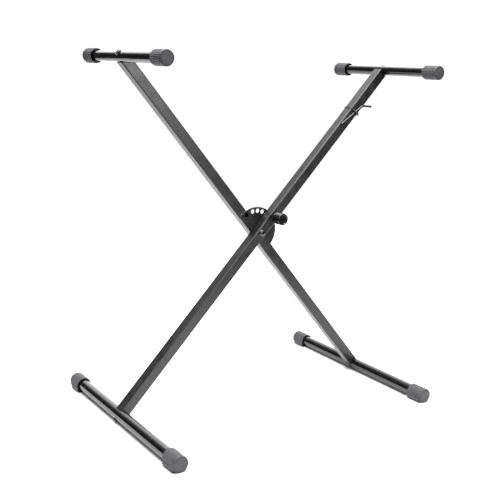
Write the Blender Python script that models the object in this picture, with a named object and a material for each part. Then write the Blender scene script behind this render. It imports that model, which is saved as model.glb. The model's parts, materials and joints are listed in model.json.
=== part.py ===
"""X-style keyboard stand: two square legs on one pivot, round support and foot tubes, a pin-and-plate lock.

Metres, +Z up, X across the stand, Y along the round tubes. The floor is z = 0 and the middle of the
footprint is x = y = 0. The front leg stands nearer -Y and runs from the left foot to the right support.
"""
import math

import bmesh
import bpy
from mathutils import Matrix, Vector

# Driving sizes of the frame
LEG_ANGLE = math.radians(47.95)     # each leg above the floor, in the position shown
LEG_SIDE = 0.025                    # square leg tube, over its faces
LEG_WALL = 0.0015
LEG_CORNER = 0.0025                 # outer corner radius of the leg tube
TOP_REACH = 0.519                   # pivot to the axis of a support tube, along the leg
FOOT_REACH = 0.525                  # pivot to the axis of a foot tube, along the leg
LEG_OFFSET = 0.015                  # how far behind the middle of its tubes each leg is bolted
TOP_RADIUS = 0.0112                 # support tube
TOP_LENGTH = 0.362                  # support tube over its two caps
FOOT_RADIUS = 0.014                 # foot tube
FOOT_LENGTH = 0.517                 # foot tube over its two caps
TUBE_WALL = 0.0015
FOOT_HEIGHT = 0.017                 # axis of a foot tube above the floor
LEG_SETBACK = 0.006                 # end of a leg tube, short of the round tube's axis
CLEAR = 0.0003                      # gap between pieces that touch

# Rubber caps
TOP_CAP_RADIUS = 0.0161
TOP_CAP_LENGTH = 0.043
FOOT_CAP_RADIUS = 0.0182
FOOT_CAP_LENGTH = 0.045
CAP_END_WALL = 0.005                # rubber beyond the end of the tube
CAP_BAND = 0.007                    # smooth band behind the closed end
CAP_ROUND = 0.0022                  # rounded edge of the closed end
CAP_RIM = 0.0024                    # from the cap's side in to the groove round its end face
CAP_GROOVE = 0.0009                 # width and depth of that groove
CAP_DOME = 0.0005                   # rise of the end face
CAP_LIP = 0.0013                    # wall round the hollow mouth
CAP_MOUTH = 0.006                   # depth of the hollow mouth
CAP_RIBS = 26
RIB_DEPTH = 0.0007
SHOE_TOP = 0.0045                   # top of the flat shoe, below the tube's axis
SHOE_LEDGE = 0.0006                 # slope of the shoe's upper edge
SHOE_TOP_HALF = 0.0190              # half width of the shoe at its top
SHOE_SOLE_HALF = 0.0150             # half width of the sole

# Bolts, inserts and pivot
BOLT_RADIUS = 0.004
HOLE_CLEAR = 0.0003                 # radial room round a bolt or a pin
HEAD_RADIUS = 0.0062
HEAD_HEIGHT = 0.0020
SOCKET_RADIUS = 0.0029              # hex socket, centre to corner
SOCKET_DEPTH = 0.0015
SADDLE_RADIUS = 0.0070
SADDLE_THICKNESS = 0.0005           # saddle washer at its thinnest
INSERT_LENGTH = 0.040
BOLT_BITE = 0.030                   # how deep a tube bolt reaches into its insert
SLEEVE_RADIUS = 0.0065
SPACER_RADIUS = 0.016
SPACER_THICKNESS = 0.0008
FLANGE_RADIUS = 0.00875             # flanged button head of the pivot bolt
FLANGE_THICKNESS = 0.0013
BUTTON_RADIUS = 0.0070
BUTTON_HEIGHT = 0.0044              # whole head, flange included
BUTTON_TOP = 0.0037                 # radius of its flat top
BUTTON_SOCKET_DEPTH = 0.0026
WASHER_RADIUS = 0.009
WASHER_THICKNESS = 0.0016
NUT_RADIUS = 0.0075                 # hexagon, centre to corner
NUT_HEIGHT = 0.0060
NUT_COLLAR_RADIUS = 0.0058          # round collar over the nut's locking ring
NUT_COLLAR_HEIGHT = 0.0022
THREAD_END = 0.0012                 # bolt beyond the nut

# Lock
PLATE_RADIUS = 0.057
PLATE_THICKNESS = 0.0025
PIN_CIRCLE = 0.048                  # pivot to the lock pin and to the plate's holes
PLATE_HOLE_RADIUS = 0.0054
LOCK_ANGLES = (28.9, 45.4, 61.8, 84.1, 100.6)    # degrees between the legs' upper halves
STORE_ANGLE = 6.0                   # the same, with the stand folded
PIN_RADIUS = 0.004
PIN_TRAVEL = 0.006
PIN_TIP_GAP = 0.0005                # pin tip to the plate with the knob drawn out
PIN_TIP_CHAMFER = 0.0008
HOUSING_RADIUS = 0.0085
HOUSING_LENGTH = 0.016              # in front of the leg
SPIGOT_RADIUS = 0.007
SPIGOT_DEPTH = 0.005                # behind the leg's front face
COLLAR_RADIUS = 0.007
COLLAR_THICKNESS = 0.0015
SPRING_RADIUS = 0.0056
SPRING_WIRE = 0.0006
SPRING_TURNS = 5
KNOB_RADIUS = 0.0140
KNOB_START = 0.012                  # back of the knob, in front of the leg
KNOB_END = 0.0365                   # face of the knob, in front of the leg
KNOB_ROUND = 0.0035
KNOB_FACE_RADIUS = 0.0112
KNOB_FACE_DISH = 0.0012
KNOB_PIN_DEPTH = 0.010              # pin's grip inside the knob
WELD_RADIUS = 0.0028
WELD_HALF_ANGLE = math.radians(7.5)
WELD_RIPPLES = 5

# Hex key and its tie
KEY_FLATS = 0.005
KEY_LONG = 0.080
KEY_SHORT = 0.031
KEY_BEND = 0.007
KEY_BELOW_TOP = 0.1844              # free end of the long arm, along the leg from the support tube's axis
KEY_ACROSS = 0.0084                 # free end of the long arm, above the leg's axis
KEY_SLOPE = math.radians(-12.8)     # long arm against the leg
TIE_BELOW_TOP = 0.135
TIE_WIDTH = 0.0032
TIE_THICKNESS = 0.0011
TIE_HEAD = (0.0050, 0.0044, 0.0060)     # along, out of the face, across
TIE_HEAD_ACROSS = -0.0095

# What follows from them
LEG_GAP = PLATE_THICKNESS + SPACER_THICKNESS + 3 * CLEAR
LEG_PITCH = LEG_SIDE + LEG_GAP
FRONT_TUBE_Y = -LEG_PITCH / 2
BACK_TUBE_Y = LEG_PITCH / 2
FRONT_LEG_Y = FRONT_TUBE_Y + LEG_OFFSET
BACK_LEG_Y = BACK_TUBE_Y + LEG_OFFSET
PIVOT_Z = FOOT_REACH * math.sin(LEG_ANGLE) + FOOT_HEIGHT
BORE_HALF = LEG_SIDE / 2 - LEG_WALL
FRONT_FACE = -LEG_SIDE / 2          # front face of a leg, from the leg's middle plane
BOLT_HOLE = BOLT_RADIUS + HOLE_CLEAR
PIN_HOLE = PIN_RADIUS + HOLE_CLEAR
KEY_ALONG = TOP_REACH - KEY_BELOW_TOP
TIE_ALONG = TOP_REACH - TIE_BELOW_TOP


def clear_scene():
    for item in list(bpy.data.objects):
        bpy.data.objects.remove(item, do_unlink=True)


def material(name, colour, roughness, metallic=0.0):
    made = bpy.data.materials.new(name)
    made.use_nodes = True
    shader = made.node_tree.nodes["Principled BSDF"]
    shader.inputs["Base Color"].default_value = (*colour, 1.0)
    shader.inputs["Roughness"].default_value = roughness
    shader.inputs["Metallic"].default_value = metallic
    return made


def empty(name, location):
    made = bpy.data.objects.new(name, None)
    made.location = location
    bpy.context.collection.objects.link(made)
    return made


def place(name, mesh, parent, matrix, finish, smooth=True):
    """A named object under a body's empty, turned and moved by matrix in the body's frame."""
    made = bpy.data.objects.new(name, mesh)
    bpy.context.collection.objects.link(made)
    made.parent = parent
    made.matrix_local = matrix
    if finish:
        mesh.materials.append(finish)
    if smooth:
        mesh.shade_smooth()
        mesh.set_sharp_from_angle(angle=math.radians(35))
    return made


def cut(target, name, mesh, parent, matrix, operation="DIFFERENCE"):
    """Cuts target with, or joins to it, a guide solid that isn't part of the model."""
    tool = place(name, mesh, parent, matrix, None, smooth=False)
    tool.hide_render = True
    tool.display_type = "WIRE"
    step = target.modifiers.new(name, "BOOLEAN")
    step.operation = operation
    step.solver = "EXACT"
    step.object = tool
    return tool


def mesh_from(name, points, faces):
    mesh = bpy.data.meshes.new(name)
    mesh.from_pydata([tuple(p) for p in points], [], faces)
    work = bmesh.new()
    work.from_mesh(mesh)
    bmesh.ops.recalc_face_normals(work, faces=work.faces)
    work.to_mesh(mesh)
    work.free()
    return mesh


def skin(name, rings, closed=False, fans=True):
    """Joins rings of equally many points into a tube, with its ends filled unless the rings close up."""
    count = len(rings[0])
    points = [p for ring in rings for p in ring]
    spans = len(rings) if closed else len(rings) - 1
    faces = []
    for row in range(spans):
        here = row * count
        there = ((row + 1) % len(rings)) * count
        for i in range(count):
            j = (i + 1) % count
            faces.append((here + i, here + j, there + j, there + i))
    if not closed and fans:
        faces.append(tuple(range(count)))
        faces.append(tuple(range((len(rings) - 1) * count, len(rings) * count)))
    return mesh_from(name, points, faces)


def turned(name, profile, sides=32, closed=False):
    """Turns a profile of (radius, y) pairs about Y. A closed profile makes a ring."""
    rings = []
    for radius, y in profile:
        ring = []
        for i in range(sides):
            turn = 2 * math.pi * i / sides
            ring.append((radius * math.cos(turn), y, radius * math.sin(turn)))
        rings.append(ring)
    return skin(name, rings, closed)


def rod(name, radius, low, high, sides=32):
    return turned(name, [(radius, low), (radius, high)], sides)


def tube(name, outer, inner, low, high, sides=32):
    return turned(name, [(outer, low), (outer, high), (inner, high), (inner, low)], sides, closed=True)


def extruded(name, outline, low, high):
    """Extrudes an outline of (x, z) pairs along Y."""
    return skin(name, [[(x, y, z) for x, z in outline] for y in (low, high)])


def block(name, low, high):
    outline = [(low[0], low[2]), (high[0], low[2]), (high[0], high[2]), (low[0], high[2])]
    return extruded(name, outline, low[1], high[1])


def rounded_square(half, corner, steps=3):
    """Points (y, z) round a square with rounded corners."""
    points = []
    for quarter in range(4):
        middle = math.pi / 4 + quarter * math.pi / 2
        cy = math.copysign(half - corner, math.cos(middle))
        cz = math.copysign(half - corner, math.sin(middle))
        for i in range(steps + 1):
            turn = quarter * math.pi / 2 + i * math.pi / 2 / steps
            points.append((cy + corner * math.cos(turn), cz + corner * math.sin(turn)))
    return points


def square_bar(name, half, corner, low, high):
    """A bar of rounded square section along X."""
    section = rounded_square(half, corner)
    return skin(name, [[(x, y, z) for y, z in section] for x in (low, high)])


def leg_matrix(side, y):
    """Turns local X up the leg. side is 1 for the front leg and -1 for the back leg."""
    turn = -LEG_ANGLE if side > 0 else math.pi + LEG_ANGLE
    return Matrix.Translation((0, y, 0)) @ Matrix.Rotation(turn, 4, "Y")


def along_leg(side, along):
    """X and Z of a point on a leg's axis, from the pivot."""
    return side * along * math.cos(LEG_ANGLE), along * math.sin(LEG_ANGLE)


def y_rod_matrix(base, along, across=0.0):
    """Puts a solid that is turned about Y at a place on the leg."""
    return base @ Matrix.Translation((along, 0, across))


def build_leg(name, side, parent, leg_y, finish):
    base = leg_matrix(side, leg_y)
    low = -FOOT_REACH + LEG_SETBACK
    high = TOP_REACH - LEG_SETBACK
    leg = place(name, square_bar(name, LEG_SIDE / 2, LEG_CORNER, low, high), parent, base, finish)
    beyond = LEG_SIDE
    inner_corner = LEG_CORNER - LEG_WALL
    bore = square_bar(name + "_bore", BORE_HALF, inner_corner, low - beyond, high + beyond)
    cut(leg, name + "_bore", bore, parent, base)
    for end, reach, radius in (("top", TOP_REACH, TOP_RADIUS), ("foot", -FOOT_REACH, FOOT_RADIUS)):
        cope = rod(name + "_cope_" + end, radius + CLEAR, -LEG_SIDE, LEG_SIDE)
        cut(leg, name + "_cope_" + end, cope, parent, y_rod_matrix(base, reach))
    pivot_hole = rod(name + "_pivot_hole", BOLT_HOLE, -LEG_SIDE, LEG_SIDE, 24)
    cut(leg, name + "_pivot_hole", pivot_hole, parent, base)
    return leg, base


def build_round_tube(name, parent, x, y, z, radius, length, leg_y, turn, finish):
    half = length / 2 - CAP_END_WALL - CLEAR
    matrix = Matrix.Translation((x, y, z))
    made = place(name, tube(name, radius, radius - TUBE_WALL, -half, half), parent, matrix, finish)
    drill = rod(name + "_drill", BOLT_HOLE, -2 * radius, 2 * radius, 16)
    along = Matrix.Translation((x, leg_y, z)) @ Matrix.Rotation(turn, 4, "Y")
    across = along @ Matrix.Rotation(-math.pi / 2, 4, "Z")
    cut(made, name + "_drill", drill, parent, across)
    return made


def cap_rays(radius, shoe):
    """Angles round a cap as (angle, groove, shoe point), where groove is 1 between two ribs."""
    if not shoe:
        count = 2 * CAP_RIBS
        return [(2 * math.pi * (i + 0.5) / count, i % 2, None) for i in range(count)]
    low = math.atan2(-SHOE_TOP, math.sqrt(radius ** 2 - SHOE_TOP ** 2))
    span = math.pi - 2 * low
    count = 2 * round(CAP_RIBS * span / (2 * math.pi))
    rays = [(low + span * i / count, i % 2, None) for i in range(count + 1)]
    right = []
    for i in range(3):
        share = i / 3
        right.append((SHOE_TOP_HALF + (SHOE_SOLE_HALF - SHOE_TOP_HALF) * share,
                      -SHOE_TOP - SHOE_LEDGE - (FOOT_HEIGHT - SHOE_TOP - SHOE_LEDGE) * share))
    for i in range(4):
        right.append((SHOE_SOLE_HALF * (1 - i / 4), -FOOT_HEIGHT))
    around = [(-x, z) for x, z in right] + [(0.0, -FOOT_HEIGHT)] + right[::-1]
    for x, z in around:
        rays.append((math.atan2(z, x), 0, (x, z)))
    return rays


def round_outline(rays, radius):
    """A circle, cut off flat at floor level where it would reach below it."""
    points = []
    for angle, _, point in rays:
        reach = radius
        if point and radius > FOOT_HEIGHT:
            reach = min(radius, -FOOT_HEIGHT / math.sin(angle))
        points.append((reach * math.cos(angle), reach * math.sin(angle)))
    return points


def ribbed_outline(rays, radius, inset=0.0):
    """Ribs round the cap, and the flat shoe below them on a foot cap."""
    points = []
    for angle, groove, point in rays:
        reach = math.hypot(*point) if point else radius - groove * RIB_DEPTH
        points.append(((reach - inset) * math.cos(angle), (reach - inset) * math.sin(angle)))
    return points


def build_cap(name, parent, x, y, z, end, tube_radius, cap_radius, cap_length, shoe, finish):
    """A cap whose closed end is at y, with its mouth towards the tube. end is 1 at +Y and -1 at -Y."""
    rays = cap_rays(cap_radius, shoe)
    face = cap_radius - CAP_RIM - CAP_GROOVE
    rows = [
        (round_outline(rays, face * 0.5), 0.0),
        (round_outline(rays, face), CAP_DOME),
        (round_outline(rays, face), CAP_DOME + CAP_GROOVE),
        (round_outline(rays, face + CAP_GROOVE), CAP_DOME + CAP_GROOVE),
        (round_outline(rays, face + CAP_GROOVE), CAP_DOME),
        (round_outline(rays, cap_radius - CAP_ROUND * 0.3), CAP_DOME + CAP_ROUND * 0.3),
        (round_outline(rays, cap_radius), CAP_DOME + CAP_ROUND),
        (round_outline(rays, cap_radius), CAP_BAND),
        (ribbed_outline(rays, cap_radius), CAP_BAND + RIB_DEPTH),
        (ribbed_outline(rays, cap_radius), cap_length),
        (ribbed_outline(rays, cap_radius, CAP_LIP), cap_length),
        (ribbed_outline(rays, cap_radius, CAP_LIP), cap_length - CAP_MOUTH),
        (round_outline(rays, tube_radius + CLEAR), cap_length - CAP_MOUTH),
        (round_outline(rays, tube_radius + CLEAR), CAP_END_WALL),
    ]
    rings = [[(px, -end * depth, pz) for px, pz in outline] for outline, depth in rows]
    return place(name, skin(name, rings), parent, Matrix.Translation((x, y, z)), finish)


def build_tube_bolt(name, parent, base, reach, radius, finish):
    """Button-head bolt through a round tube and into the leg's insert. reach is signed along the leg."""
    out = math.copysign(1, reach)
    seat = radius + CLEAR + SADDLE_THICKNESS + CLEAR
    tip = -radius - CLEAR - BOLT_BITE
    profile = [(BOLT_RADIUS - 0.0006, tip), (BOLT_RADIUS, tip + 0.0010), (BOLT_RADIUS, seat), (HEAD_RADIUS, seat),
               (HEAD_RADIUS, seat + HEAD_HEIGHT * 0.35), (HEAD_RADIUS * 0.86, seat + HEAD_HEIGHT * 0.75),
               (HEAD_RADIUS * 0.55, seat + HEAD_HEIGHT)]
    matrix = base @ Matrix.Translation((reach, 0, 0)) @ Matrix.Rotation(-out * math.pi / 2, 4, "Z")
    bolt = place(name, turned(name, profile, 20), parent, matrix, finish)
    socket = rod(name + "_socket", SOCKET_RADIUS, seat + HEAD_HEIGHT - SOCKET_DEPTH, seat + 2 * HEAD_HEIGHT, 6)
    cut(bolt, name + "_socket", socket, parent, matrix)
    return bolt


def build_saddle(name, parent, base, reach, radius, finish):
    """Washer that is flat under the bolt head and hollowed to the round tube."""
    out = math.copysign(1, reach)
    top = radius + CLEAR + SADDLE_THICKNESS
    matrix = base @ Matrix.Translation((reach, 0, 0)) @ Matrix.Rotation(-out * math.pi / 2, 4, "Z")
    low = math.sqrt(radius ** 2 - SADDLE_RADIUS ** 2)
    made = place(name, tube(name, SADDLE_RADIUS, BOLT_HOLE, low, top, 24), parent, matrix, finish)
    hollow = rod(name + "_hollow", radius + CLEAR, -2 * SADDLE_RADIUS, 2 * SADDLE_RADIUS, 48)
    cut(made, name + "_hollow", hollow, parent, base @ Matrix.Translation((reach, 0, 0)))
    return made


def build_insert(name, parent, base, reach, radius, finish):
    """Threaded plug in the end of a leg, which the tube bolt screws into."""
    out = math.copysign(1, reach)
    near = reach - out * (radius + CLEAR)
    far = near - out * INSERT_LENGTH
    low, high = min(near, far), max(near, far)
    half = BORE_HALF - CLEAR
    corner = max(LEG_CORNER - LEG_WALL, 0.001)
    made = place(name, square_bar(name, half, corner, low, high), parent, base, finish)
    thread = rod(name + "_thread", BOLT_HOLE, -2 * INSERT_LENGTH, 2 * INSERT_LENGTH, 16)
    matrix = base @ Matrix.Translation((reach, 0, 0)) @ Matrix.Rotation(-out * math.pi / 2, 4, "Z")
    cut(made, name + "_thread", thread, parent, matrix)
    return made


def build_half(side, parent, leg_name, leg_y, tube_y, top_name, foot_name, finishes):
    """One leg with its support tube, foot tube, caps, bolts, saddle washers and inserts."""
    leg, base = build_leg(leg_name, side, parent, leg_y, finishes["paint"])
    turn = -LEG_ANGLE if side > 0 else math.pi + LEG_ANGLE
    for part, reach, radius, length, cap_radius, cap_length, shoe in (
            (top_name, TOP_REACH, TOP_RADIUS, TOP_LENGTH, TOP_CAP_RADIUS, TOP_CAP_LENGTH, False),
            (foot_name, -FOOT_REACH, FOOT_RADIUS, FOOT_LENGTH, FOOT_CAP_RADIUS, FOOT_CAP_LENGTH, True)):
        x, z = along_leg(side, reach)
        build_round_tube(part + "_tube", parent, x, tube_y, z, radius, length, leg_y, turn, finishes["gloss"])
        for end, where in ((-1, "front"), (1, "rear")):
            build_cap(f"{part}_cap_{where}", parent, x, tube_y + end * length / 2, z, end, radius, cap_radius,
                      cap_length, shoe, finishes["rubber"])
        build_tube_bolt(part + "_bolt", parent, base, reach, radius, finishes["steel"])
        build_saddle(part + "_saddle_washer", parent, base, reach, radius, finishes["steel"])
        build_insert(part + "_insert", parent, base, reach, radius, finishes["zinc"])
    sleeve = tube(leg_name + "_sleeve", SLEEVE_RADIUS, BOLT_HOLE, -BORE_HALF + CLEAR, BORE_HALF - CLEAR, 20)
    place(leg_name + "_sleeve", sleeve, parent, base, finishes["zinc"])
    return leg, base


def build_pivot(parent, finishes):
    """Flanged button-head bolt through both legs, with the spacer, rear washer and lock nut."""
    front = FRONT_LEG_Y + FRONT_FACE
    back = BACK_LEG_Y + LEG_SIDE / 2
    here = Matrix.Identity(4)
    seat = front - CLEAR
    nut_seat = back + CLEAR + WASHER_THICKNESS + CLEAR
    end = nut_seat + NUT_HEIGHT + NUT_COLLAR_HEIGHT + THREAD_END
    profile = [(BOLT_RADIUS - 0.0006, end), (BOLT_RADIUS, end - 0.0008), (BOLT_RADIUS, seat), (FLANGE_RADIUS, seat),
               (FLANGE_RADIUS, seat - FLANGE_THICKNESS * 0.7), (BUTTON_RADIUS, seat - FLANGE_THICKNESS)]
    for i in range(1, 5):
        turn = math.pi / 2 * i / 4
        profile.append((BUTTON_TOP + (BUTTON_RADIUS - BUTTON_TOP) * math.cos(turn),
                        seat - FLANGE_THICKNESS - (BUTTON_HEIGHT - FLANGE_THICKNESS) * math.sin(turn)))
    bolt = place("pivot_bolt", turned("pivot_bolt", profile, 28), parent, here, finishes["steel"])
    socket = rod("pivot_bolt_socket", SOCKET_RADIUS, seat - 2 * BUTTON_HEIGHT,
                 seat - BUTTON_HEIGHT + BUTTON_SOCKET_DEPTH, 6)
    cut(bolt, "pivot_bolt_socket", socket, parent, here)
    washer = tube("pivot_washer", WASHER_RADIUS, BOLT_HOLE, back + CLEAR, back + CLEAR + WASHER_THICKNESS, 24)
    place("pivot_washer", washer, parent, here, finishes["steel"])
    spacer_front = FRONT_LEG_Y + LEG_SIDE / 2 + CLEAR
    spacer = tube("pivot_spacer", SPACER_RADIUS, BOLT_HOLE, spacer_front, spacer_front + SPACER_THICKNESS, 24)
    place("pivot_spacer", spacer, parent, here, finishes["nylon"])
    nut = rod("pivot_lock_nut", NUT_RADIUS, nut_seat, nut_seat + NUT_HEIGHT, 6)
    nut = place("pivot_lock_nut", nut, parent, here, finishes["steel"])
    collar = turned("pivot_lock_nut_collar", [
        (NUT_COLLAR_RADIUS, nut_seat + NUT_HEIGHT / 2),
        (NUT_COLLAR_RADIUS, nut_seat + NUT_HEIGHT + NUT_COLLAR_HEIGHT * 0.7),
        (NUT_COLLAR_RADIUS * 0.9, nut_seat + NUT_HEIGHT + NUT_COLLAR_HEIGHT)], 24)
    cut(nut, "pivot_lock_nut_collar", collar, parent, here, "UNION")
    thread = rod("pivot_lock_nut_thread", BOLT_HOLE, nut_seat - NUT_HEIGHT, nut_seat + 3 * NUT_HEIGHT, 20)
    cut(nut, "pivot_lock_nut_thread", thread, parent, here)


def plate_outline():
    """A disc about the pivot, cut off level with the leg's outer edge. Local X is up the leg."""
    edge = LEG_SIDE / 2
    start = -math.asin(edge / PLATE_RADIUS)
    end = math.pi - start
    steps = 56
    points = []
    for i in range(steps + 1):
        turn = start + (end - start) * i / steps
        points.append((PLATE_RADIUS * math.cos(turn), PLATE_RADIUS * math.sin(turn)))
    return [(x, -z) for x, z in points]


def plate_hole_place(degrees):
    """Local place on the back leg of a hole at this angle from the leg's upper half."""
    turn = math.radians(degrees)
    return PIN_CIRCLE * math.cos(turn), -PIN_CIRCLE * math.sin(turn)


def build_plate(parent, base, leg, finishes):
    back = FRONT_FACE - CLEAR
    plate = extruded("locking_plate", plate_outline(), back - PLATE_THICKNESS, back)
    plate = place("locking_plate", plate, parent, base, finishes["paint"])
    for number, degrees in enumerate((STORE_ANGLE,) + LOCK_ANGLES):
        along, across = plate_hole_place(degrees)
        hole = rod(f"plate_hole_{number}", PLATE_HOLE_RADIUS, -LEG_SIDE, 0, 24)
        cut(plate, f"plate_hole_{number}", hole, parent, y_rod_matrix(base, along, across))
    pivot = rod("plate_pivot_hole", BOLT_HOLE, -LEG_SIDE, 0, 24)
    cut(plate, "plate_pivot_hole", pivot, parent, base)
    along, across = plate_hole_place(STORE_ANGLE)
    store = rod("back_leg_store_hole", PLATE_HOLE_RADIUS, -LEG_SIDE, 0, 24)
    cut(leg, "back_leg_store_hole", store, parent, y_rod_matrix(base, along, across))


def weld_rings(middle):
    """Rippled half-round bead along the plate's edge, about the angle middle."""
    steps = 4 * WELD_RIPPLES
    sides = 7
    rings = []
    for i in range(steps + 1):
        share = i / steps
        turn = middle + WELD_HALF_ANGLE * (2 * share - 1)
        swell = WELD_RADIUS * (0.86 + 0.14 * math.cos(2 * math.pi * WELD_RIPPLES * share))
        swell *= 0.55 + 0.45 * math.sin(math.pi * min(1, max(0, share)))
        inner = PLATE_RADIUS + CLEAR
        ring = []
        for k in range(sides):
            lift = math.pi / 2 * k / (sides - 1)
            reach = inner + swell * math.cos(lift)
            height = FRONT_FACE - CLEAR - swell * math.sin(lift)
            ring.append((reach * math.cos(turn), height, reach * math.sin(turn)))
        ring.append((inner * math.cos(turn), FRONT_FACE - CLEAR, inner * math.sin(turn)))
        rings.append(ring)
    return rings


def build_welds(parent, base, finish):
    """Beads that hold the plate to the leg at the two ends of its arc."""
    for name, middle in (("plate_weld_upper", 0.0), ("plate_weld_lower", math.pi)):
        place(name, skin(name, weld_rings(middle)), parent, base, finish)


def build_lock(front, front_base, knob, front_leg, finishes):
    """Pin housing and spring on the front leg, and the knob, pin and collar that slide in it."""
    face = FRONT_LEG_Y + FRONT_FACE
    inner_face = face + LEG_WALL
    back_wall = FRONT_LEG_Y + BORE_HALF
    x, z = along_leg(1, PIN_CIRCLE)
    axis = Matrix.Translation((x, 0, z))
    wall_hole = rod("front_leg_spigot_hole", SPIGOT_RADIUS + CLEAR, -LEG_SIDE, 0, 24)
    cut(front_leg, "front_leg_spigot_hole", wall_hole, front, y_rod_matrix(front_base, PIN_CIRCLE))
    pin_hole = rod("front_leg_pin_hole", PIN_HOLE, 0, LEG_SIDE, 24)
    cut(front_leg, "front_leg_pin_hole", pin_hole, front, y_rod_matrix(front_base, PIN_CIRCLE))
    housing = turned("pin_housing", [
        (PIN_HOLE, face + SPIGOT_DEPTH), (SPIGOT_RADIUS, face + SPIGOT_DEPTH), (SPIGOT_RADIUS, face - CLEAR),
        (HOUSING_RADIUS, face - CLEAR), (HOUSING_RADIUS, face - HOUSING_LENGTH + 0.0010),
        (HOUSING_RADIUS - 0.0010, face - HOUSING_LENGTH), (PIN_HOLE, face - HOUSING_LENGTH)], 28, closed=True)
    place("pin_housing", housing, front, axis, finishes["steel"])

    plate_front = BACK_LEG_Y + FRONT_FACE - CLEAR - PLATE_THICKNESS
    tip = plate_front - PIN_TIP_GAP
    collar_back = back_wall - CLEAR - PIN_TRAVEL
    collar_front = collar_back - COLLAR_THICKNESS
    spring_low = face + SPIGOT_DEPTH + SPRING_WIRE + CLEAR
    spring_high = collar_front - SPRING_WIRE - CLEAR
    place("pin_spring", spring_mesh(spring_low, spring_high), front, axis, finishes["steel"])

    pin_front = face - KNOB_END + KNOB_FACE_DISH + 0.0045
    pin = turned("lock_pin", [(PIN_RADIUS - 0.0005, pin_front), (PIN_RADIUS, pin_front + 0.0005),
                              (PIN_RADIUS, tip - PIN_TIP_CHAMFER), (PIN_RADIUS - PIN_TIP_CHAMFER, tip)], 24)
    own = Matrix.Identity(4)
    place("lock_pin", pin, knob, own, finishes["steel"])
    collar = tube("pin_collar", COLLAR_RADIUS, PIN_RADIUS + CLEAR, collar_front, collar_back, 24)
    place("pin_collar", collar, knob, own, finishes["zinc"])

    start = face - KNOB_START
    end = face - KNOB_END
    pocket = face - HOUSING_LENGTH - CLEAR - PIN_TRAVEL
    grip = HOUSING_RADIUS + 0.0006
    profile = [(grip, pocket), (grip, start), (KNOB_RADIUS - KNOB_ROUND, start)]
    for i in range(1, 5):
        turn = math.radians(22.5 * i)
        profile.append((KNOB_RADIUS - KNOB_ROUND + KNOB_ROUND * math.sin(turn),
                        start - KNOB_ROUND * (1 - math.cos(turn))))
    edge = KNOB_RADIUS - KNOB_FACE_RADIUS
    for i in range(0, 5):
        turn = math.radians(22.5 * i)
        profile.append((KNOB_FACE_RADIUS + edge * math.cos(turn) * 0.5 + edge * 0.5,
                        end + edge * 0.5 * (1 - math.sin(turn))))
    profile += [(KNOB_FACE_RADIUS, end), (KNOB_FACE_RADIUS - KNOB_FACE_DISH, end + KNOB_FACE_DISH)]
    body = turned("pull_knob", profile + [(0.002, end + KNOB_FACE_DISH)], 32)
    body = place("pull_knob", body, knob, own, finishes["knob"])
    socket = rod("pull_knob_socket", PIN_HOLE, pin_front - CLEAR, pocket + LEG_SIDE, 24)
    cut(body, "pull_knob_socket", socket, knob, own)


def spring_mesh(low, high):
    """Compression spring about Y: one wire of round section on a helix from low to high."""
    per_turn = 10
    steps = SPRING_TURNS * per_turn
    sides = 5
    path = []
    for i in range(steps + 1):
        turn = 2 * math.pi * i / per_turn
        rise = low + (high - low) * i / steps
        path.append(Vector((SPRING_RADIUS * math.cos(turn), rise, SPRING_RADIUS * math.sin(turn))))
    least = min((path[i] - path[i + per_turn]).length for i in range(steps - per_turn + 1)) - 2 * SPRING_WIRE
    print("pin spring: least gap between turns", round(least * 1000, 2), "mm")
    rings = []
    for i, point in enumerate(path):
        before = path[max(i - 1, 0)]
        after = path[min(i + 1, steps)]
        tangent = (after - before).normalized()
        outward = Vector((point.x, 0, point.z)).normalized()
        outward = (outward - tangent * outward.dot(tangent)).normalized()
        side = tangent.cross(outward)
        ring = []
        for k in range(sides):
            turn = 2 * math.pi * k / sides
            ring.append(point + outward * SPRING_WIRE * math.cos(turn) + side * SPRING_WIRE * math.sin(turn))
        rings.append(ring)
    return skin("pin_spring", rings)


def build_key(parent, base, finish):
    """Hex key: a hexagon carried along the long arm, round the bend and out along the short arm."""
    lift = KEY_FLATS / 2
    y0 = FRONT_FACE - CLEAR - lift
    run = Vector((math.cos(KEY_SLOPE), 0, math.sin(KEY_SLOPE)))
    start = Vector((KEY_ALONG, y0, KEY_ACROSS))
    out = Vector((0, -1, 0))
    side = run.cross(out)
    corner = start + run * (KEY_LONG - lift)
    stations = [(start, run)]
    centre = corner - run * KEY_BEND + out * KEY_BEND
    steps = 6
    for i in range(steps + 1):
        turn = math.pi / 2 * i / steps
        stations.append((centre + run * KEY_BEND * math.sin(turn) - out * KEY_BEND * math.cos(turn),
                         run * math.cos(turn) + out * math.sin(turn)))
    stations.append((corner + out * (KEY_SHORT - lift), out))
    corner_radius = lift / math.cos(math.pi / 6)
    rings = []
    for point, tangent in stations:
        up = side.cross(tangent)
        ring = []
        for k in range(6):
            turn = math.pi / 3 * k
            ring.append(point + side * corner_radius * math.cos(turn) + up * corner_radius * math.sin(turn))
        rings.append(ring)
    place("hex_key", skin("hex_key", rings), parent, base, finish, smooth=False)


def hull_prism(name, circles, width, low, high):
    """Convex band round several (y, z, radius) circles, between two places along the leg."""
    work = bmesh.new()
    for cy, cz, radius in circles:
        for i in range(16):
            turn = 2 * math.pi * i / 16
            reach = radius + width
            for x in (low, high):
                work.verts.new((x, cy + reach * math.cos(turn), cz + reach * math.sin(turn)))
    made = bmesh.ops.convex_hull(work, input=work.verts)
    inside = [item for item in made["geom_interior"] if isinstance(item, bmesh.types.BMVert)]
    bmesh.ops.delete(work, geom=inside, context="VERTS")
    bmesh.ops.dissolve_limit(work, angle_limit=math.radians(1), verts=work.verts, edges=work.edges)
    bmesh.ops.recalc_face_normals(work, faces=work.faces)
    mesh = bpy.data.meshes.new(name)
    work.to_mesh(mesh)
    work.free()
    return mesh


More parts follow.
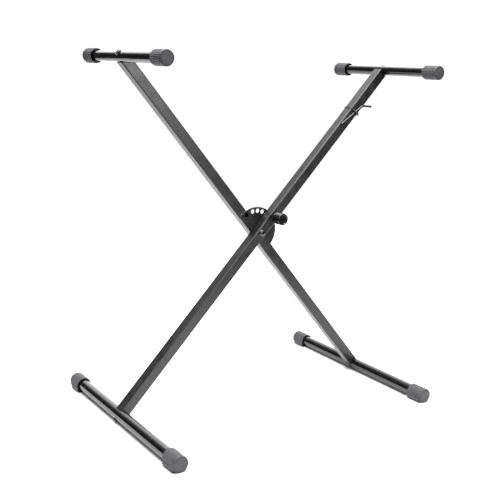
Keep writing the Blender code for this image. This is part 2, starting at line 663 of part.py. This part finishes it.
def build_tie(parent, base, finish):
    """Cable tie round the leg and the hex key, with its lock head below the key."""
    half = LEG_SIDE / 2 - LEG_CORNER
    circles = [(sy * half, sz * half, LEG_CORNER) for sy in (-1, 1) for sz in (-1, 1)]
    key_across = KEY_ACROSS + (TIE_ALONG - KEY_ALONG) * math.tan(KEY_SLOPE)
    key_radius = KEY_FLATS / 2 / math.cos(math.pi / 6)
    circles.append((FRONT_FACE - CLEAR - KEY_FLATS / 2, key_across, key_radius))
    low, high = TIE_ALONG - TIE_WIDTH / 2, TIE_ALONG + TIE_WIDTH / 2
    band = hull_prism("cable_tie", circles, CLEAR + TIE_THICKNESS, low, high)
    band = place("cable_tie", band, parent, base, finish)
    deep, out, wide = TIE_HEAD
    head_y = FRONT_FACE - CLEAR - TIE_THICKNESS
    head = block("cable_tie_head", (TIE_ALONG - deep / 2, head_y - out, TIE_HEAD_ACROSS - wide / 2),
                 (TIE_ALONG + deep / 2, head_y + TIE_THICKNESS, TIE_HEAD_ACROSS + wide / 2))
    cut(band, "cable_tie_head", head, parent, base, "UNION")
    inner = hull_prism("cable_tie_inner", circles, CLEAR, low - TIE_WIDTH, high + TIE_WIDTH)
    cut(band, "cable_tie_inner", inner, parent, base)


def main():
    clear_scene()
    finishes = {
        "paint": material("satin_black_powder_coat", (0.028, 0.029, 0.032), 0.42, 0.0),
        "gloss": material("gloss_black_enamel", (0.012, 0.012, 0.014), 0.12, 0.0),
        "rubber": material("dark_grey_rubber", (0.085, 0.085, 0.095), 0.65, 0.0),
        "steel": material("black_oxide_steel", (0.055, 0.055, 0.060), 0.30, 1.0),
        "zinc": material("zinc_plated_steel", (0.60, 0.60, 0.62), 0.35, 1.0),
        "nylon": material("black_nylon", (0.020, 0.020, 0.022), 0.45, 0.0),
        "knob": material("gloss_black_plastic", (0.014, 0.015, 0.018), 0.10, 0.0),
        "tie": material("black_tie_nylon", (0.020, 0.020, 0.022), 0.40, 0.0),
    }
    pivot = (0, 0, PIVOT_Z)
    front = empty("front_frame", pivot)
    back = empty("back_frame", pivot)
    pin_x, pin_z = along_leg(1, PIN_CIRCLE)
    knob = empty("knob_frame", (pin_x, 0, PIVOT_Z + pin_z))
    front_leg, front_base = build_half(1, front, "front_leg", FRONT_LEG_Y, FRONT_TUBE_Y, "right_support",
                                       "left_foot", finishes)
    back_leg, back_base = build_half(-1, back, "back_leg", BACK_LEG_Y, BACK_TUBE_Y, "left_support",
                                     "right_foot", finishes)
    build_pivot(front, finishes)
    build_plate(back, back_base, back_leg, finishes)
    build_welds(back, back_base, finishes["paint"])
    build_lock(front, front_base, knob, front_leg, finishes)
    build_key(front, front_base, finishes["steel"])
    build_tie(front, front_base, finishes["tie"])


main()
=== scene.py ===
"""X-style keyboard stand on a white floor, seen from the left and a little above.

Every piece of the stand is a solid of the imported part, shown as it is. Metres, +Z up.
"""

import json
import math

import bpy
from mathutils import Matrix, Vector

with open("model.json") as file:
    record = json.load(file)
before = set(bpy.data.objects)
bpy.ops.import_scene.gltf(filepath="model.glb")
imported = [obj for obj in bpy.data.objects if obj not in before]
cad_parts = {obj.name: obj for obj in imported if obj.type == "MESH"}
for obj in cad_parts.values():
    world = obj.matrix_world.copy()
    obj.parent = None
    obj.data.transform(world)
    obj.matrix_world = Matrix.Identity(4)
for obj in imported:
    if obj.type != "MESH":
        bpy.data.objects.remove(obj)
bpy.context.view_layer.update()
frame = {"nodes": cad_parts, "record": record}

# Camera, in the part's frame
CAMERA_PLACE = (-1.11027, -1.56699, 0.77511)
CAMERA_YAW = math.radians(-34.739)
CAMERA_PITCH = math.radians(-12.138)
CAMERA_ROLL = math.radians(2.828)
CAMERA_LENS = 59.766
CAMERA_CLIP = (0.05, 200.0)
SENSOR = 36.0

# Floor
FLOOR_RADIUS = 1.75
FLOOR_MIDDLE = (0.25, 0.85, 0.0)
FLOOR_SIDES = 96
FLOOR_SHADES = (0.88, 0.92)
FLOOR_PATCH = 3.0
FLOOR_ROUGHNESS = 0.9

# Room and lamps
ROOM_RISE = (0.25, 0.80)            # sine of the height at which the room turns from dim to bright
ROOM_LEVELS = (0.06, 0.50)
ROOM_SEEN = 1.05                    # level of the white behind the stand
GLOW_TOWARDS = (0.476, 0.824, 0.309)    # middle of the bright wall behind and to the right
GLOW_SPREAD = (0.74, 0.90)          # cosine from the middle at which it starts and is full
GLOW_LEVEL = 2.8
LAMPS = (                           # name, place, aim, width, power
    ("overhead_softbox", (-0.2, -0.1, 2.7), (-0.2, -0.1, 0.0), 3.4, 225.0),
    ("front_softbox", (0.77, -2.85, 1.10), (0.0, 0.0, 0.6), 1.7, 50.0),
)

# Finishes
NOISE_ROUGHNESS = 0.55
COLOUR_ENDS = (0.35, 0.65)          # noise values between which the colour drifts
DRIFT_ENDS = (0.3, 0.7)             # noise values between which the roughness drifts
GRAIN_DEPTH = 0.0004

NODES = frame["nodes"]


def sockets(shader, **values):
    for name, value in values.items():
        shader.inputs[name.replace("_", " ")].default_value = value


def new_material(name):
    made = bpy.data.materials.new(name)
    made.use_nodes = True
    tree = made.node_tree
    return made, tree, tree.nodes["Principled BSDF"]


def object_noise(tree, scale, detail=4.0):
    """Noise on the object's own coordinates."""
    where = tree.nodes.new("ShaderNodeTexCoord")
    noise = tree.nodes.new("ShaderNodeTexNoise")
    sockets(noise, Scale=scale, Detail=detail, Roughness=NOISE_ROUGHNESS)
    tree.links.new(where.outputs["Object"], noise.inputs["Vector"])
    return noise.outputs["Fac"]


def ramp(tree, source, low, high):
    """Colour that drifts from low to high as the source rises."""
    made = tree.nodes.new("ShaderNodeValToRGB")
    for stop, place, colour in zip(made.color_ramp.elements, COLOUR_ENDS, (low, high)):
        stop.position = place
        stop.color = (*colour, 1.0)
    tree.links.new(source, made.inputs["Fac"])
    return made.outputs["Color"]


def map_range(tree, source, span, levels, smooth=False):
    """Value that goes from one level to the other as the source crosses the span."""
    made = tree.nodes.new("ShaderNodeMapRange")
    made.interpolation_type = "SMOOTHSTEP" if smooth else "LINEAR"
    sockets(made, From_Min=span[0], From_Max=span[1], To_Min=levels[0], To_Max=levels[1])
    tree.links.new(source, made.inputs["Value"])
    return made.outputs["Result"]


def grain(tree, shader, source, strength):
    """Fine relief on a surface."""
    bump = tree.nodes.new("ShaderNodeBump")
    sockets(bump, Strength=strength, Distance=GRAIN_DEPTH)
    tree.links.new(source, bump.inputs["Height"])
    tree.links.new(bump.outputs["Normal"], shader.inputs["Normal"])


def finish_of(name, dark, light, rough, patch, fine, bump, metallic=0.0, specular=0.5):
    """A surface whose colour and roughness drift in patches, with a fine grain in relief."""
    made, tree, shader = new_material(name)
    broad = object_noise(tree, patch, detail=3.0)
    small = object_noise(tree, fine, detail=2.0)
    tree.links.new(ramp(tree, broad, dark, light), shader.inputs["Base Color"])
    tree.links.new(map_range(tree, broad, DRIFT_ENDS, rough), shader.inputs["Roughness"])
    grain(tree, shader, small, bump)
    sockets(shader, Metallic=metallic, Specular_IOR_Level=specular)
    return made


def grey(value, blue=1.06):
    """A grey with a slight blue cast."""
    return value, value, value * blue


FINISHES = {
    "leg_paint": finish_of("leg_paint", grey(0.006), grey(0.011), (0.28, 0.38), 40, 1400, 0.20,
                           specular=0.55),
    "tube_enamel": finish_of("tube_enamel", grey(0.002), grey(0.004), (0.10, 0.16), 60, 900, 0.03,
                             specular=0.6),
    "rubber_caps": finish_of("rubber_caps", grey(0.036, 1.12), grey(0.054, 1.12), (0.50, 0.65),
                             90, 1800, 0.25, specular=0.4),
    "dark_steel": finish_of("dark_steel", grey(0.006), grey(0.012), (0.16, 0.26), 200, 1500, 0.08,
                            specular=0.8),
    "zinc_steel": finish_of("zinc_steel", grey(0.45), grey(0.60), (0.28, 0.42), 150, 1200, 0.10,
                            metallic=1.0),
    "nylon_spacer": finish_of("nylon_spacer", grey(0.012), grey(0.022), (0.40, 0.55), 80, 900, 0.05),
    "knob_plastic": finish_of("knob_plastic", grey(0.004), grey(0.008), (0.07, 0.13), 60, 700, 0.02,
                              specular=0.6),
    "tie_nylon": finish_of("tie_nylon", grey(0.012), grey(0.020), (0.30, 0.42), 120, 1500, 0.08),
}
KEY_FINISH = finish_of("key_steel", grey(0.040), grey(0.065), (0.24, 0.34), 160, 1300, 0.08,
                       metallic=1.0)
WELD_FINISH = finish_of("weld_paint", grey(0.008), grey(0.014), (0.14, 0.22), 300, 1100, 0.30,
                        specular=1.0)
OWN_FINISH = {"hex_key": KEY_FINISH, "plate_weld_upper": WELD_FINISH, "plate_weld_lower": WELD_FINISH}


def dress():
    """Gives every solid the finish of its material slot, or its own where it differs within the slot."""
    for entry in frame["record"]["subparts"]:
        node = NODES[entry["node"]]
        node.data.materials.clear()
        node.data.materials.append(OWN_FINISH.get(entry["node"], FINISHES[entry["material_slot"]]))


def floor():
    """Round white sheet under the stand."""
    bpy.ops.mesh.primitive_circle_add(vertices=FLOOR_SIDES, radius=FLOOR_RADIUS, fill_type="NGON",
                                      location=FLOOR_MIDDLE)
    sheet = bpy.context.object
    sheet.name = "floor"
    made, tree, shader = new_material("white_floor")
    low, high = FLOOR_SHADES
    shade = ramp(tree, object_noise(tree, FLOOR_PATCH), (low, low, low), (high, high, high))
    tree.links.new(shade, shader.inputs["Base Color"])
    sockets(shader, Roughness=FLOOR_ROUGHNESS, Specular_IOR_Level=0.0)
    sheet.data.materials.append(made)


def room():
    """White to the camera. To the stand it is dim low down, with a bright wall behind on the right."""
    world = bpy.data.worlds.new("white_room")
    world.use_nodes = True
    tree = world.node_tree
    where = tree.nodes.new("ShaderNodeTexCoord")
    apart = tree.nodes.new("ShaderNodeSeparateXYZ")
    facing = tree.nodes.new("ShaderNodeVectorMath")
    facing.operation = "DOT_PRODUCT"
    facing.inputs[1].default_value = GLOW_TOWARDS
    total = tree.nodes.new("ShaderNodeMath")
    total.operation = "ADD"
    dim = tree.nodes["Background"]
    white = tree.nodes.new("ShaderNodeBackground")
    for background in (dim, white):
        background.inputs["Color"].default_value = (1.0, 1.0, 1.0, 1.0)
    white.inputs["Strength"].default_value = ROOM_SEEN
    path = tree.nodes.new("ShaderNodeLightPath")
    mix = tree.nodes.new("ShaderNodeMixShader")
    tree.links.new(where.outputs["Generated"], apart.inputs["Vector"])
    tree.links.new(where.outputs["Generated"], facing.inputs[0])
    rise = map_range(tree, apart.outputs["Z"], ROOM_RISE, ROOM_LEVELS, smooth=True)
    glow = map_range(tree, facing.outputs["Value"], GLOW_SPREAD, (0.0, GLOW_LEVEL), smooth=True)
    tree.links.new(rise, total.inputs[0])
    tree.links.new(glow, total.inputs[1])
    tree.links.new(total.outputs["Value"], dim.inputs["Strength"])
    tree.links.new(path.outputs["Is Camera Ray"], mix.inputs["Fac"])
    tree.links.new(dim.outputs["Background"], mix.inputs[1])
    tree.links.new(white.outputs["Background"], mix.inputs[2])
    tree.links.new(mix.outputs["Shader"], tree.nodes["World Output"].inputs["Surface"])
    bpy.context.scene.world = world


def lamps():
    """Round soft lamps, each turned to face its aim."""
    for name, place, target, size, power in LAMPS:
        data = bpy.data.lights.new(name, "AREA")
        data.shape = "DISK"
        data.size = size
        data.energy = power
        lamp = bpy.data.objects.new(name, data)
        lamp.location = place
        aim = Vector(target) - Vector(place)
        lamp.rotation_mode = "QUATERNION"
        lamp.rotation_quaternion = aim.to_track_quat("-Z", "Y")
        bpy.context.collection.objects.link(lamp)


def camera():
    """Looks from the left front, turned to the right and down, with a slight roll."""
    cy, sy = math.cos(CAMERA_YAW), math.sin(CAMERA_YAW)
    cp, sp = math.cos(CAMERA_PITCH), math.sin(CAMERA_PITCH)
    ahead = Vector((-sy * cp, cy * cp, sp))
    level = Vector((cy, sy, 0.0))
    above = level.cross(ahead)
    right = level * math.cos(CAMERA_ROLL) + above * math.sin(CAMERA_ROLL)
    up = above * math.cos(CAMERA_ROLL) - level * math.sin(CAMERA_ROLL)
    data = bpy.data.cameras.new("camera")
    data.lens = CAMERA_LENS
    data.sensor_width = SENSOR
    data.clip_start, data.clip_end = CAMERA_CLIP
    data.dof.use_dof = False
    made = bpy.data.objects.new("camera", data)
    bpy.context.collection.objects.link(made)
    turn = Matrix((right, up, -ahead)).transposed().to_4x4()
    made.matrix_world = Matrix.Translation(CAMERA_PLACE) @ turn
    bpy.context.scene.camera = made


dress()
floor()
room()
lamps()
camera()
bpy.context.scene.view_settings.view_transform = "Standard"
